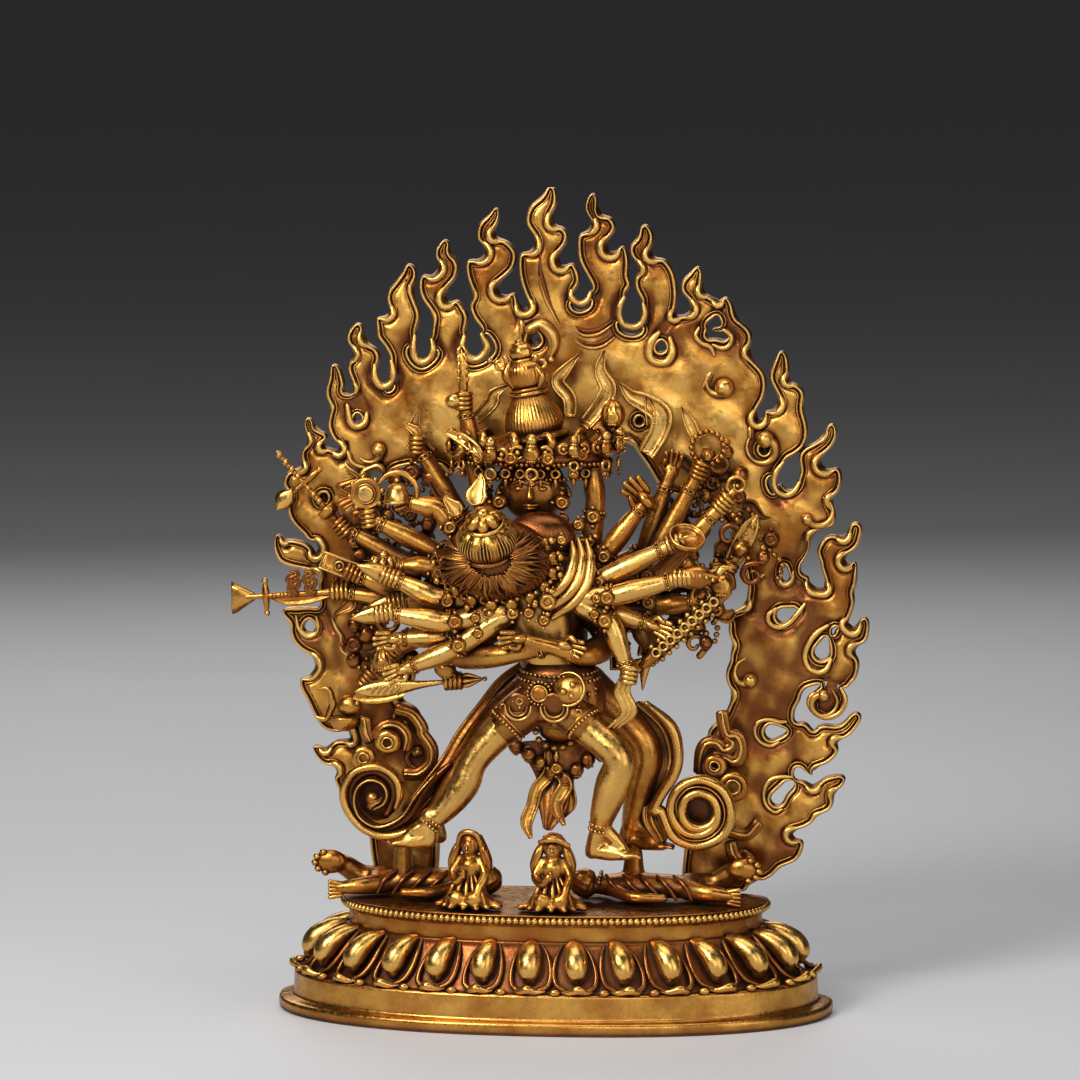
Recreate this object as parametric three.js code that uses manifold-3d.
// A gilt bronze wrathful deity with many arms and a consort, striding on two fallen figures
// on an oval lotus base, in front of a ring of flames.
// Millimetres, +Z up, the viewer looks along +Y, and the origin is the middle of the base's underside.
import * as THREE from 'three';
import { mergeVertices } from 'three/addons/utils/BufferGeometryUtils.js';
import Module from 'manifold-3d';

const wasm = await Module();
wasm.setup();

// Driving dimensions
const BASE = {
  halfWidth: 76,
  front: 43,
  back: 24,
  tipDepth: 9.5,
  topInset: 18,
  frontInset: 9,
  backInset: 11,
};
const BASE_TOP = 31;
const PETALS = 25;
const GAP = 0.35;
// Slivers left where solids meet are closed up within this distance.
const SLIVER = 0.1;
const AUREOLE = { middleX: 3, middleZ: 112, depth: 17.4, thickness: 2.6, footZ: BASE_TOP + GAP };
const ARM = { spread: 3, shoulder: 2.4, elbow: 2.4, wrist: 1.6, palm: 2.4 };
const SHOULDER = [7, 8.2, 8];
const LEFT_SHOULDER = [-13, 4, 113];
const RIGHT_SHOULDER = [9, 4, 117];
const CONSORT_SHOULDERS = [[-9, -9, 112], [7, -9, 115]];
const GOLD = { color: 0xc89a3c, roughness: 0.34, metalness: 1 };
const OLD_GOLD = { color: 0xa8792c, roughness: 0.42, metalness: 1 };

const rad = (degrees) => (degrees * Math.PI) / 180;
const vec = (p) => new THREE.Vector3(...p);
const mix = (a, b, t) => a + (b - a) * t;
const between = (a, b, t) => a.map((value, i) => mix(value, b[i], t));

// A point at an angle and a distance from another in the upright plane that faces the viewer.
const polar = (from, degrees, reach, depth = from[1]) => [
  from[0] + reach * Math.cos(rad(degrees)),
  depth,
  from[2] + reach * Math.sin(rad(degrees)),
];

// Solids
function solid(geometry) {
  const bare = geometry.index ? geometry.clone() : geometry;
  for (const name of ['normal', 'uv']) bare.deleteAttribute(name);
  const merged = mergeVertices(bare, 1e-4);
  const corners = new Uint32Array(merged.index.array);
  const build = () =>
    new wasm.Manifold(
      new wasm.Mesh({ numProp: 3, vertProperties: merged.attributes.position.array, triVerts: corners }),
    );
  const made = build();
  if (made.volume() > 0) return made;
  for (let i = 0; i < corners.length; i += 3) {
    [corners[i + 1], corners[i + 2]] = [corners[i + 2], corners[i + 1]];
  }
  return build();
}

const fuse = (geometries) => wasm.Manifold.union(geometries.map(solid));

const largest = (shape) => shape.decompose().sort((a, b) => b.volume() - a.volume())[0];

function geometryOf(shape) {
  const mesh = shape.simplify(SLIVER).getMesh();
  const count = mesh.numProp;
  const points = new Float32Array(mesh.numVert * 3);
  for (let i = 0; i < mesh.numVert; i++) {
    points.set(mesh.vertProperties.subarray(i * count, i * count + 3), i * 3);
  }
  const geometry = new THREE.BufferGeometry();
  geometry.setAttribute('position', new THREE.BufferAttribute(points, 3));
  geometry.setIndex(new THREE.BufferAttribute(mesh.triVerts, 1));
  geometry.computeVertexNormals();
  return geometry;
}

// Closes a run of rings of points into a skin, with a fan over each end.
function skin(rings) {
  const sides = rings[0].length;
  const points = rings.flat();
  const faces = [];
  for (let i = 0; i + 1 < rings.length; i++) {
    for (let j = 0; j < sides; j++) {
      const a = i * sides + j;
      const b = i * sides + ((j + 1) % sides);
      faces.push(a, b, b + sides, a, b + sides, a + sides);
    }
  }
  for (const [ring, turned] of [[0, true], [rings.length - 1, false]]) {
    const total = rings[ring].reduce((sum, p) => sum.clone().add(p), new THREE.Vector3());
    const middle = total.divideScalar(sides);
    const tip = points.push(middle) - 1;
    for (let j = 0; j < sides; j++) {
      const a = ring * sides + j;
      const b = ring * sides + ((j + 1) % sides);
      faces.push(...(turned ? [b, a, tip] : [a, b, tip]));
    }
  }
  const geometry = new THREE.BufferGeometry().setFromPoints(points);
  geometry.setIndex(faces);
  return geometry;
}

// A rounded bar through the points. Each width is a radius, or a pair: across the view and along it.
function limb(points, widths, sides = 6, extra = 0) {
  const path = points.map(vec);
  let side = new THREE.Vector3(0, 1, 0);
  const rings = path.map((point, i) => {
    const along = path[Math.min(i + 1, path.length - 1)].clone().sub(path[Math.max(i - 1, 0)]).normalize();
    const across = new THREE.Vector3().crossVectors(side, along);
    if (across.lengthSq() < 1e-4) across.set(1, 0, 0);
    across.normalize();
    const depth = new THREE.Vector3().crossVectors(along, across).normalize();
    side = depth;
    const [wide, deep] = [widths[i]].flat().length === 2 ? widths[i] : [widths[i], widths[i]];
    return Array.from({ length: sides }, (_, j) => {
      const turn = ((j + 0.5) / sides) * 2 * Math.PI;
      return point
        .clone()
        .addScaledVector(across, (wide + extra) * Math.cos(turn))
        .addScaledVector(depth, (deep + extra) * Math.sin(turn));
    });
  });
  return skin(rings);
}

function ball(centre, radii, across = 5, down = 3, extra = 0) {
  const [x, y, z] = [radii].flat().length === 3 ? radii : [radii, radii, radii];
  return new THREE.SphereGeometry(1, across, down)
    .rotateX(Math.PI / 2)
    .scale(x + extra, y + extra, z + extra)
    .translate(...centre);
}

function turned(profile, centre, segments = 8, lean = 0) {
  const points = profile.map(([r, z]) => new THREE.Vector2(r, z));
  return new THREE.LatheGeometry(points, segments)
    .rotateX(Math.PI / 2)
    .rotateY(rad(lean))
    .translate(...centre);
}

// An upright plate with the outline in X and Z, between two depths.
function plate(outline, depth, thickness) {
  const shape = new THREE.Shape(outline.map(([x, z]) => new THREE.Vector2(x, z)));
  return new THREE.ExtrudeGeometry(shape, { depth: thickness, bevelEnabled: false })
    .rotateX(Math.PI / 2)
    .translate(0, depth + thickness / 2, 0);
}

function hoop(centre, radius, thick, segments = 10) {
  return new THREE.TorusGeometry(radius, thick, 4, segments).rotateX(Math.PI / 2).translate(...centre);
}

// Lotus base
function basePoint(turn, rise, level) {
  const power = 2 / 2.25;
  const c = Math.cos(turn);
  const s = Math.sin(turn);
  const halfWidth = BASE.halfWidth - BASE.topInset * rise;
  const reach = s < 0 ? BASE.front - BASE.frontInset * rise : BASE.back - BASE.backInset * rise;
  return new THREE.Vector3(
    halfWidth * Math.sign(c) * Math.abs(c) ** power,
    BASE.tipDepth + reach * Math.sign(s) * Math.abs(s) ** power,
    level,
  );
}

// Turns that share out the outline by its length.
function evenTurns(count, rise) {
  const steps = 720;
  const lengths = [0];
  let last = basePoint(0, rise, 0);
  for (let i = 1; i <= steps; i++) {
    const next = basePoint((i / steps) * 2 * Math.PI, rise, 0);
    lengths.push(lengths[i - 1] + next.distanceTo(last));
    last = next;
  }
  return Array.from({ length: count }, (_, k) => {
    const wanted = (lengths[steps] * k) / count;
    const i = lengths.findIndex((length) => length >= wanted);
    return (i / steps) * 2 * Math.PI;
  });
}

// A block of the base: each row is how far the wall has drawn in from the rim, and its height.
const baseBlock = (profile, turns) =>
  skin(profile.map(([rise, level]) => turns.map((turn) => basePoint(turn, rise, level))));

function lotusBase() {
  const foot = [[0.03, 0], [0, 3], [0.22, 3.8], [0.26, 10.6]];
  const top = [[1.08, 23.4], [1.06, 28.2], [0.98, 28.8], [0.98, BASE_TOP]];
  // Each petal swells out between two creases and turns up at its tip.
  const petalRows = [
    [10.6, 0.5, 0.46], [12.4, 0.5, 0.31], [14.4, 0.56, 0.46], [18.6, 0.7, 0.52], [23.4, 1.1, 1.02],
  ];
  const creases = evenTurns(PETALS, 0.5);
  const petals = petalRows.map(([level, crease, crest]) =>
    creases.flatMap((turn, i) => {
      const step = ((creases[i + 1] ?? 2 * Math.PI) - turn) / 4;
      return [
        basePoint(turn, crease, level),
        basePoint(turn + step, crest, level),
        basePoint(turn + 3 * step, crest, level),
      ];
    }),
  );
  return fuse([baseBlock(foot, evenTurns(28, 0)), skin(petals), baseBlock(top, evenTurns(28, 1))]);
}

// Flame aureole
// The right half of the ring: [x from its middle, z, half width]
const BAND = [
  [51, 30.9, 8], [54, 44, 8], [56, 66, 8], [58, 92, 8.5], [57, 118, 8],
  [50, 140, 9], [38, 156, 11], [22, 167, 14], [0, 172, 16],
];

// [angle of the tip round the ring's middle, its reach, the flame's length, its half width, its sway]
const FLAMES = [
  [93, 112, 52, 7.4, 1.8], [87, 110, 50, 7, -1.8], [101, 108, 50, 6.8, 1.8], [79, 104, 44, 6.4, -1.8],
  [109.5, 103, 46, 6.4, 1.8], [69, 98, 42, 6.8, -1.8], [116, 100, 44, 6.4, 1.8], [62, 92, 40, 6.4, -1.8],
  [128, 95, 44, 6.2, 1.8], [50, 89, 38, 7, -2], [136, 90, 42, 6, 1.8], [147, 86, 42, 6, 1.8],
  [33.5, 86, 40, 7.2, -2], [159, 83, 40, 5.8, 1.8], [169, 81, 38, 5.8, 1.8], [14.4, 81, 42, 7.2, -2],
  [184, 79, 38, 6, 1.8], [-4, 81, 38, 7, -2], [198, 80, 36, 6, 1.8], [-22, 85, 36, 7, -2],
  [211, 83, 34, 5.8, 1.8], [-33.4, 89, 28, 6, -1.6], [-44, 89, 16, 4.6, -1], [222, 80, 20, 4.6, 1],
];

// The half width of a flame from its root to its tip, and how far its middle line swings.
const flameWidth = (t, width) => width * (0.9 - 0.82 * t ** 1.6 + 0.14 * Math.sin(t * 10));
const flameSwing = (t, sway) => sway * Math.sin(t * 8.2 + 1) * t;

function flame([angle, reach, length, width, sway]) {
  const side = Math.cos(rad(angle));
  const lean = (26 + 14 * Math.max(0, -Math.sin(rad(angle)))) * side;
  const tip = [AUREOLE.middleX + reach * side, AUREOLE.middleZ + reach * Math.sin(rad(angle))];
  const along = [Math.sin(rad(lean)), Math.cos(rad(lean))];
  const root = [tip[0] - along[0] * length, tip[1] - along[1] * length];
  const steps = 6;
  const edge = (sign) =>
    Array.from({ length: steps }, (_, i) => {
      const t = i / steps;
      const off = flameSwing(t, sway) + sign * flameWidth(t, width);
      const [x, z] = [root[0] + along[0] * length * t, root[1] + along[1] * length * t];
      return [x - along[1] * off, z + along[0] * off];
    });
  return [...edge(-1), tip, ...edge(1).reverse()];
}

function flameAureole() {
  const half = new THREE.CatmullRomCurve3(BAND.map(([x, z, w]) => new THREE.Vector3(x, z, w)));
  const run = half.getPoints(12).map((p) => [p.x, p.y, p.z]);
  const line = [...run, ...run.slice(0, -1).reverse().map(([x, z, w]) => [-x, z, w])];
  const side = (sign) =>
    line.map(([x, z, w], i) => {
      const [x0, z0] = line[Math.max(0, i - 1)];
      const [x1, z1] = line[Math.min(line.length - 1, i + 1)];
      const long = Math.hypot(x1 - x0, z1 - z0);
      const foot = i === 0 || i === line.length - 1 ? [sign * Math.sign(x) * w, 0] : null;
      const [nx, nz] = foot ? [foot[0] / w, 0] : [(sign * (z1 - z0)) / long, (-sign * (x1 - x0)) / long];
      return [AUREOLE.middleX + x + nx * w, Math.max(AUREOLE.footZ, z + nz * w)];
    });
  const outer = side(1);
  const inner = side(-1);
  const band = plate([...outer, ...inner.reverse()], AUREOLE.depth, AUREOLE.thickness);
  const parts = [band, ...FLAMES.map((row) => plate(flame(row), AUREOLE.depth, AUREOLE.thickness))];
  return largest(fuse(parts));
}

// Things held in the hands. Each starts at the hand and points at an angle in the plane of the view.
const rod = (at, angle, lengths, widths, sides = 4) =>
  limb(lengths.map((length) => polar(at, angle, length)), widths, sides);

const HELD = {
  none: () => [],
  torch: (at, angle) => [rod(at, angle, [-2, 4, 13], [[3.4, 1.6], [1.9, 1.4], 0.5])],
  bud: (at, angle) => [rod(at, angle, [0, 4, 10], [1.2, [2.4, 1.4], 0.4])],
  finger: (at, angle) => [rod(at, angle, [-2, 4, 9.5], [1.9, 1.3, 0.6])],
  bell: (at, angle) => [rod(at, angle, [0, 3, 4.2, 6.8], [1, 3.9, 3.8, 1.4], 6)],
  wheel: (at, angle) => {
    const middle = polar(at, angle, 6.8);
    return [
      new THREE.CylinderGeometry(4.4, 4.4, 1.8, 9).translate(...middle),
      new THREE.CylinderGeometry(2.2, 2.2, 3.2, 7).translate(...middle),
    ];
  },
  heartStaff: (at, angle) => [
    rod(at, angle, [0, 5, 9, 27], [1, 2.4, 1.4, 0.9]),
    rod(polar(at, angle, 16), angle + 88, [-5, 4.6, 9], [1.4, [2.8, 1], [1, 0.8]]),
    rod(polar(at, angle, 1), 84, [0, 5, 10, 15], [0.8, [2.6, 0.8], [1.6, 0.8], [0.8, 0.6]]),
  ],
  skull: (at, angle) => [ball(polar(at, angle, 3), [3.3, 2.8, 3.4])],
  diamond: (at, angle) => {
    const middle = polar(at, angle, 4.4);
    const corner = (turn, reach) => {
      const [x, , z] = polar(middle, turn, reach);
      return [x, z];
    };
    return [plate([corner(4, 5.6), corner(136, 5.4), corner(184, 5.6), corner(316, 5.4)], at[1] - 1, 1.8)];
  },
  axe: (at, angle) => [
    rod(at, angle, [0, 10, 22, 25, 30], [1, 1.8, 1.2, [4.6, 0.7], [3.4, 0.5]]),
    rod(polar(at, angle, 11), 100, [-2, 4, 7], [2.4, [2.8, 1], 1]),
  ],
  blade: (at, angle) => [rod(at, angle, [-4, 2, 9], [[1, 0.6], [2.6, 1], [0.5, 0.4]])],
  hook: (at, angle) => {
    const head = polar(at, angle, 9);
    return [
      rod(at, angle, [0, 9], [1, 1.6]),
      ball(head, [4, 2.6, 3.6], 6, 3),
      rod(head, angle - 60, [0, 5.5], [1.6, 0.9]),
    ];
  },
  vajra: (at, angle) => [
    rod(at, angle, [-3, 1, 5, 9], [1.2, 1.2, 1.8, 0.6]),
    rod(at, 187, [2, 7, 19, 27], [0.8, [1.4, 0.8], [2.6, 1], [0.6, 0.6]]),
  ],
  feather: (at, angle) => [rod(at, angle, [-3, 3, 10, 17], [0.8, [2.4, 1.2], [2.9, 1.3], [0.9, 0.8]])],
  palm: (at, angle) => [rod(at, angle, [-2, 2, 7], [1.6, [2.6, 1.4], 0.8])],
  noose: (at, angle) => [hoop(polar(at, angle, 6.4), 4.4, 1.2, 8)],
  bow: (at, angle) => [
    rod(at, angle, [-6, 0, 4], [0.8, 1.2, 1.6]),
    hoop(polar(at, angle, 6), 2.4, 1.1, 7),
  ],
  head: (at, angle) => [ball(polar(at, angle, 3), [3.6, 3, 3.8])],
  bowl: (at, angle) => [ball(polar(at, angle, 3), [4.9, 3.6, 3], 6, 3)],
  shell: (at, angle) => [rod(at, angle, [-4, 2, 9], [1.2, [3.4, 2.4], 0.8], 5)],
  skullStaff: (at, angle) => [rod(at, angle, [-5, 2, 12, 30], [0.9, 2.2, 2.2, 1.8])],
  ribbon: (at, angle) => [
    limb(
      [at, polar(at, angle - 14, 5), polar(at, angle + 8, 10), polar(at, angle - 8, 15)],
      [1.2, [2, 1], [2.4, 1], [0.8, 0.6]],
      4,
    ),
  ],
  block: (at, angle) => {
    const [x, y, z] = polar(at, angle, 2.6);
    return [new THREE.BoxGeometry(5, 3.4, 5).translate(x, y, z)];
  },
};

// The arms fan out in layers, one behind the other.
const FRONT = -1;
const MIDDLE = 4;
const BACK = 9;
const CONSORT_BACK = -7.7;
const CONSORT_FRONT = -12.6;

// [angle and reach of the elbow, angle and reach of the hand, depth, what it holds, where that points]
const DEITY_LEFT_ARMS = [
  [103, 36, 102, 55, MIDDLE, 'torch', 92], [121, 31, 121, 48, BACK, 'bud', 88],
  [125, 30, 136, 39, FRONT, 'bell', 112], [147, 26, 150, 43, MIDDLE, 'wheel', 98],
  [161, 31, 158, 49, BACK, 'heartStaff', 131], [157, 23, 163, 31, FRONT, 'skull', 170],
  [176, 30, 171, 42, MIDDLE, 'diamond', 155], [182, 31, 179, 46, BACK, 'axe', 184],
  [179, 20, 181, 29, FRONT, 'blade', 195], [203, 25, 206, 35, MIDDLE, 'head', 225],
  [205, 30, 211, 45, BACK, 'hook', 236], [226, 24, 238, 26, FRONT, 'vajra', 5],
];
const DEITY_RIGHT_ARMS = [
  [84, 23, 88, 35, MIDDLE, 'head', 48], [58, 12, 55, 29, FRONT, 'finger', 148],
  [30, 18, 54, 38, BACK, 'palm', 80], [20, 19, 46, 44, MIDDLE, 'noose', 70],
  [12, 21, 32, 44, FRONT, 'bow', 50], [1, 28, 6, 38, BACK, 'feather', 62],
  [-14, 21, -8, 31, MIDDLE, 'head', 10], [-35, 18, -44, 26, FRONT, 'skullStaff', 42],
  [-26, 15, -42, 22, BACK, 'none', 0], [-50, 12, -62, 20, MIDDLE, 'block', 265],
  [-63, 16, -97, 18, FRONT, 'none', 0],
];
const CONSORT_LEFT_ARMS = [
  [174, 22, 167, 35, CONSORT_BACK, 'blade', 160], [191, 19, 182, 35, CONSORT_FRONT, 'blade', 190],
  [202, 22, 195, 34, CONSORT_BACK, 'none', 0], [213, 21, 209, 34, CONSORT_FRONT, 'none', 0],
];
const CONSORT_RIGHT_ARMS = [
  [35, 9, 29, 31, CONSORT_BACK, 'bowl', 20], [6, 11, 12, 30, CONSORT_FRONT, 'shell', 2],
  [-31, 12, -53, 25, CONSORT_FRONT, 'ribbon', 262], [-22, 10, -19, 22, CONSORT_BACK, 'none', 0],
];

function arm(shoulder, [elbowAngle, elbowReach, handAngle, handReach, depth, held, pointing]) {
  const start = polar(shoulder, elbowAngle, ARM.spread, depth);
  const elbow = polar(shoulder, elbowAngle, elbowReach, depth);
  const hand = polar(shoulder, handAngle, handReach, depth);
  const along = (t) => between(elbow, hand, t);
  return [
    limb(
      [start, elbow, along(0.78), along(1.1)],
      [ARM.shoulder, ARM.elbow, ARM.wrist, ARM.palm],
      5,
    ),
    ...HELD[held](hand, pointing),
  ];
}

// A spiral of band, seen end on, as the scarf's end rolls up.
function scroll(centre, outer, turns, thick, depth, startAngle) {
  const steps = 12;
  const edge = (inset) =>
    Array.from({ length: steps + 1 }, (_, i) => {
      const t = i / steps;
      const [x, , z] = polar(centre, startAngle + 360 * turns * t, outer * (1 - 0.72 * t) - inset);
      return [x, z];
    });
  return plate([...edge(0), ...edge(thick).reverse()], centre[1], depth);
}

function leg(points, radii, toe, extra) {
  const ankle = points[points.length - 1];
  const heel = [ankle[0] - (toe[0] - ankle[0]) * 0.15, ankle[1], toe[2] + 1.6];
  const sole = [mix(ankle[0], toe[0], 0.5), mix(ankle[1], toe[1], 0.5), toe[2] + 0.6];
  return [
    limb(points, radii, 6, extra),
    limb([heel, sole, toe], [[1.9, 2.4], [1.8, 2.6], [1, 2]], 5, extra),
  ];
}

// The body, legs and main arms of the deity. The extra leaves room round it in the consort.
function deityBody(extra = 0) {
  return [
    limb(
      [[2, 6, 80], [2, 6, 88], [0, 5, 98], [-2, 5, 111], [-2, 5, 121], [-5, 4, 137]],
      [[8, 6], [11.5, 7.5], [8.4, 6], [12.4, 7.2], [12, 6.4], [4.6, 4.8]],
      8,
      extra,
    ),
    ball([-5.5, 4, 143], [9.6, 8.6, 9.4], 7, 4, extra),
    ...leg(
      [[-4, 6, 87], [-14, 6, 79], [-24, 5, 69], [-32, 5, 60], [-40, 4, 49.5]],
      [7.6, 6.6, 5, 4.8, 2.8],
      [-50, -1, 46.6],
      extra,
    ),
    ...leg(
      [[8, 6, 87], [18, 5, 79], [28, 3, 69], [26.5, 5, 60], [23.5, 6, 49]],
      [7.6, 6.8, 5.4, 5, 2.8],
      [33, 2, 45.2],
      extra,
    ),
    // The shoulders are deep, to carry the fans of arms, and the two main arms cross behind the consort.
    ball(LEFT_SHOULDER, SHOULDER, 6, 4, extra),
    ball(RIGHT_SHOULDER, SHOULDER, 6, 4, extra),
    limb([[-11, 3, 110], [-17, -4, 101], [-6, -15, 98], [6, -15, 97.4]], [3, 2.8, 2.3, 1.6], 5, extra),
    limb([[8, 3, 112], [15, -3, 101.6], [11, -13, 98.8], [-4, -17, 99]], [3, 2.8, 2.3, 1.6], 5, extra),
  ];
}

function topknot(at, size) {
  const profile = [
    [0, -4], [7.6, -4], [8, 0], [5, 6], [4.4, 8], [5.8, 11], [5.4, 14.6], [3, 17], [2.4, 20], [0, 25],
  ];
  return turned(profile.map(([r, z]) => [r * size, z * size]), at, 7, -6);
}

function deity() {
  const crown = { middle: [-5.5, 3.4], halfWidth: 19, halfDepth: 8.6, height: 153, skulls: 7 };
  const skulls = Array.from({ length: crown.skulls }, (_, i) => {
    const turn = rad(200 + (140 * i) / (crown.skulls - 1));
    const x = crown.middle[0] + crown.halfWidth * Math.cos(turn);
    return ball([x, crown.middle[1] + crown.halfDepth * Math.sin(turn), crown.height], [2.4, 2.2, 2.8]);
  });
  return largest(
    fuse([
      ...deityBody(),
      // The head has four faces, one to each side.
      ...[[-5.5, -4.2], [-14.6, 4], [3.6, 4], [-5.5, 12]].map(([x, y]) => ball([x, y, 140.5], [2, 2, 3])),
      ball([-5.5, 4.4, 155.5], [20, 8.4, 5.2], 10, 3),
      topknot([-5.4, 4, 161.5], 0.95),
      ball([-13.4, 3, 177], 2.1),
      ball([-2, 3, 177], 2.1),
      ...skulls,
      ...DEITY_LEFT_ARMS.flatMap((row) => arm(LEFT_SHOULDER, row)),
      ...DEITY_RIGHT_ARMS.flatMap((row) => arm(RIGHT_SHOULDER, row)),
      // The scarves come down along both legs and roll up at their ends.
      limb(
        [[-8, 9, 92], [-26, 8, 75], [-42, 6, 56], [-46, 2, 50.6]],
        [[2.6, 1], [3, 1], [3, 1], [2, 2]],
        5,
      ),
      scroll([-49.3, 0, 58.6], 8.6, 1.6, 2.1, 4.5, -90),
      limb(
        [[10, 8, 92], [27, 8, 90], [37, 7, 79], [34, 5, 66], [31, 3, 55]],
        [[2, 1], [2.6, 1], [2.8, 1], [2.4, 1], [2, 2]],
        5,
      ),
      scroll([39.6, 2, 55.4], 10.2, 1.6, 2.5, 5, 180),
      // The long garland of heads and the cloth hang between the legs.
      limb(
        [[-12, 7, 84], [-5, 7, 75], [3, 7, 72], [17, 7, 79]],
        [[1.6, 1.6], [3, 1.8], [3.6, 1.8], [1.6, 1.6]],
        5,
      ),
      limb(
        [[2, 7, 74], [2, 6, 66], [1, 4, 58], [0, 2, 52]],
        [[7, 1.8], [5, 1.4], [4, 1.4], [1.6, 1.2]],
        5,
      ),
    ]),
  );
}

function consort() {
  const mane = { middle: [-14, -14.5, 122.4], halfWidth: 14, halfHeight: 9.6, skulls: 6 };
  const skulls = Array.from({ length: mane.skulls }, (_, i) => {
    const turn = rad(190 + (170 * i) / (mane.skulls - 1));
    const [x, y, z] = mane.middle;
    const place = [x + mane.halfWidth * Math.cos(turn), y, z + mane.halfHeight * Math.sin(turn)];
    return ball(place, [2.1, 1.8, 2.4]);
  });
  const bun = turned([[0, -3], [8, -3], [6, 4.6], [3.8, 5.4], [4.4, 8], [0, 11.6]], [0, 0, 0], 7)
    .rotateX(rad(52))
    .translate(-16.6, -16, 129);
  const shape = fuse([
    limb(
      [[3, -6, 84], [3, -6.4, 90], [0.5, -7.5, 99], [-3, -9.6, 113], [-8, -11, 119]],
      [[9, 4.6], [11, 5], [5.4, 4], [8, 4.2], [4, 3.6]],
      7,
    ),
    // The head is thrown back, so its crown and hair face the viewer.
    ball([-14.5, -12, 123.6], [14.5, 7.4, 10.6], 8, 5),
    bun,
    limb([[-17, -11, 132], [-19, -12, 142]], [[3, 1.4], 0.5], 5),
    ...skulls,
    ...leg(
      [[-2, -7.5, 88], [-9.5, -9, 80.8], [-18.5, -10, 70], [-23.5, -10.6, 62], [-31.6, -12, 51.2]],
      [6.2, 5, 4, 4.3, 2.5],
      [-42.5, -12, 47.4],
    ),
    ...leg(
      [[8, -7.5, 86], [15, -10.5, 77.5], [22.6, -13, 69.4], [18.6, -11.6, 61], [15.4, -10, 52]],
      [6.4, 5.2, 4.3, 4.2, 2.5],
      [25.4, -11, 44.9],
    ),
    // The apron with its lobes, and the domed ornament on the hip.
    limb([[2, -10.6, 95], [2.4, -12, 89], [2.6, -12, 82.6]], [[11, 1.4], [12, 1.4], [9, 1]], 7),
    ball([5.6, -13.2, 89], [4.8, 2, 4.4], 6, 3),
    ball([-7.6, -12.4, 83.4], [3.2, 1.4, 3.2]),
    ball([3.8, -12.8, 82], [3.6, 1.4, 3.2]),
    ...CONSORT_LEFT_ARMS.flatMap((row) => arm(CONSORT_SHOULDERS[0], row)),
    ...CONSORT_RIGHT_ARMS.flatMap((row) => arm(CONSORT_SHOULDERS[1], row)),
    // Bands sweep round the shoulder.
    ...[0, 4].map((step) =>
      limb(
        [
          [6 + step, -10, 127 - step / 3],
          [9.4 + step, -12, 117],
          [5 + step, -12, 107 - step],
          [-1 + step, -11, 102],
        ],
        [1, 1.9, 1.9, 1],
        4,
      ),
    ),
  ]);
  return largest(shape.subtract(fuse(deityBody(GAP))));
}

// A figure lying face down, its feet towards the outer end, with something for the foot above to stand on.
function prostrate(side, middle, stand) {
  const at = (along, depth, height) => [middle[0] + side * along, middle[1] + depth, middle[2] + height];
  return fuse([
    limb(
      [at(-16, 0, 4), at(-8, 0, 4), at(1, 0, 4), at(11, 0, 3.8)],
      [[2.4, 3], [3.8, 5.4], [3.6, 4.6], [3, 4.6]],
      6,
    ),
    ball(at(-19, -1, 4.2), [4, 3.8, 4], 6, 3),
    limb([at(9, 2.4, 4), at(16, 3.6, 4.4), at(20, 2.5, 10), at(25, 1.5, 11.4)], [3.2, 2.5, 1.8, 1.4], 4),
    limb([at(9, -2.4, 3.4), at(21, -6, 2.6)], [3, 1.8], 5),
    limb([at(-11, -4, 3.4), at(-5, -9, 2.4), at(3, -9.4, 2.2)], [2, 1.7, 1.5], 4),
    limb([at(...stand[0]), at(...stand[1])], [stand[2], stand[3]], 6),
  ]);
}

function kneeling(middle, turnDegrees) {
  const body = [
    turned([[0, 0], [7.2, 0], [6.6, 3], [3.8, 9], [2.2, 14.6], [0, 14.6]], [0, 0, 0], 6),
    ball([0, -0.4, 16.6], [3.6, 3.4, 3.8], 6, 4),
    limb([[-4, 0, 11.4], [-4.8, -2, 7.6], [0, -4.4, 8.8]], [1.6, 1.4, 1.1], 4),
    limb([[4, 0, 11.4], [4.6, -2.2, 8], [3, -5, 4]], [1.6, 1.4, 1.1], 4),
    limb([[-3.6, 1, 16], [-5.4, 1, 8.6]], [1.5, 1.2], 4),
    limb([[3.6, 1, 16], [5.4, 1, 8.6]], [1.5, 1.2], 4),
  ];
  return fuse(body.map((g) => g.rotateZ(rad(turnDegrees)).translate(...middle)));
}

function piece(name, shape, finish) {
  const material = new THREE.MeshStandardMaterial(finish);
  const mesh = new THREE.Mesh(geometryOf(shape), material);
  mesh.name = name;
  return mesh;
}

// The figures on the plate are cut off level with it.
const floor = BASE_TOP + GAP;
const above = new THREE.BoxGeometry(300, 200, 300).translate(0, 0, floor + 150);
const standing = (shape) => shape.intersect(solid(above));
const fallenLeft = prostrate(-1, [-37, 3, floor], [[4, -1, 6], [4, -1, 13.6], 3, 2.4]);
const fallenRight = prostrate(1, [28, 1, floor], [[-6, 1, 6], [-6, 3, 12.6], 3.2, 2.4]);
const figure = new THREE.Group();
figure.add(
  piece('lotus_base', lotusBase(), GOLD),
  piece('flame_aureole', flameAureole(), OLD_GOLD),
  piece('deity', deity(), GOLD),
  piece('consort', consort(), GOLD),
  piece('fallen_figure_left', standing(fallenLeft), OLD_GOLD),
  piece('fallen_figure_right', standing(fallenRight), OLD_GOLD),
  piece('kneeling_figure_left', kneeling([-20.6, -15, floor], -12), OLD_GOLD),
  piece('kneeling_figure_middle', kneeling([2, -16.5, floor], 0), GOLD),
);

export default figure;
